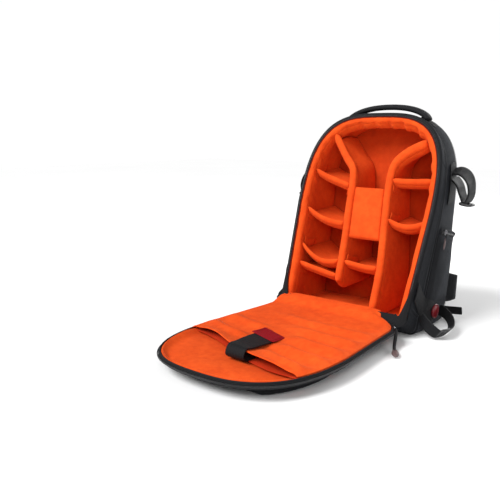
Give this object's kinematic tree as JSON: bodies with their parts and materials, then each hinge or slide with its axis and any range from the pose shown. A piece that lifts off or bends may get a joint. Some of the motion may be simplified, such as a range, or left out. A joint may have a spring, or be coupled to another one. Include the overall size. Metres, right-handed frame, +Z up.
{
  "type": "camera backpack",
  "caption": "Padded camera backpack standing open, its arched front flap laid on the floor, with lined compartments, sleeve strap, grab handle, side loops, shoulder harness and waist wings.",
  "frame": {"origin": "on the flat bottom of the base, halfway between the two sides, on the floor", "axes": "+Z up, +Y towards the wearer's back, -Y towards the laid-down flap, +X towards the bag's right side as seen from the flap"},
  "size_m": [0.4542, 0.7584, 0.4803],
  "materials": {
    "black_cloth": "matte",
    "orange_lining": "matte",
    "webbing": "matte",
    "hard_plastic": "satin",
    "rubber_pull": "matte",
    "red_tab": "satin",
    "red_badge": "satin"
  },
  "bodies": {
    "root": {"base_panel": "black_cloth", "side_panel_right": "black_cloth", "side_panel_left": "black_cloth", "top_panel": "black_cloth", "back_panel": "black_cloth", "liner_base": "orange_lining", "liner_right": "orange_lining", "liner_left": "orange_lining", "liner_top": "orange_lining", "liner_back": "orange_lining", "left_divider": "orange_lining", "right_divider": "orange_lining", "left_shelf_1": "orange_lining", "left_shelf_2": "orange_lining", "left_shelf_3": "orange_lining", "left_shelf_4": "orange_lining", "centre_shelf": "orange_lining", "right_shelf_1": "orange_lining", "right_shelf_2": "orange_lining", "centre_pad": "orange_lining", "flap_panel": "black_cloth", "flap_lining": "orange_lining", "flap_sleeve": "orange_lining", "flap_zip": "webbing", "front_pocket_lower": "black_cloth", "front_pocket_upper": "black_cloth", "flap_hinge": "black_cloth", "opening_rim": "webbing", "sleeve_strap": "webbing", "sleeve_tab": "red_tab", "main_zip_pull": "rubber_pull", "top_handle": "webbing", "sternum_strap": "webbing", "sternum_buckle": "hard_plastic", "side_pocket_right": "black_cloth", "pocket_pull_right": "rubber_pull", "upper_strap_right": "webbing", "upper_buckle_right": "hard_plastic", "lower_strap_right": "webbing", "lower_buckle_right": "hard_plastic", "badge_right": "red_badge", "shoulder_pad_right": "black_cloth", "harness_web_right": "webbing", "adjuster_right": "hard_plastic", "load_lifter_right": "webbing", "waist_wing_right": "black_cloth", "belt_web_right": "webbing", "side_pocket_left": "black_cloth", "pocket_pull_left": "rubber_pull", "upper_strap_left": "webbing", "upper_buckle_left": "hard_plastic", "lower_strap_left": "webbing", "lower_buckle_left": "hard_plastic", "badge_left": "red_badge", "shoulder_pad_left": "black_cloth", "harness_web_left": "webbing", "adjuster_left": "hard_plastic", "load_lifter_left": "webbing", "waist_wing_left": "black_cloth", "belt_web_left": "webbing"}
  },
  "joints": []
}
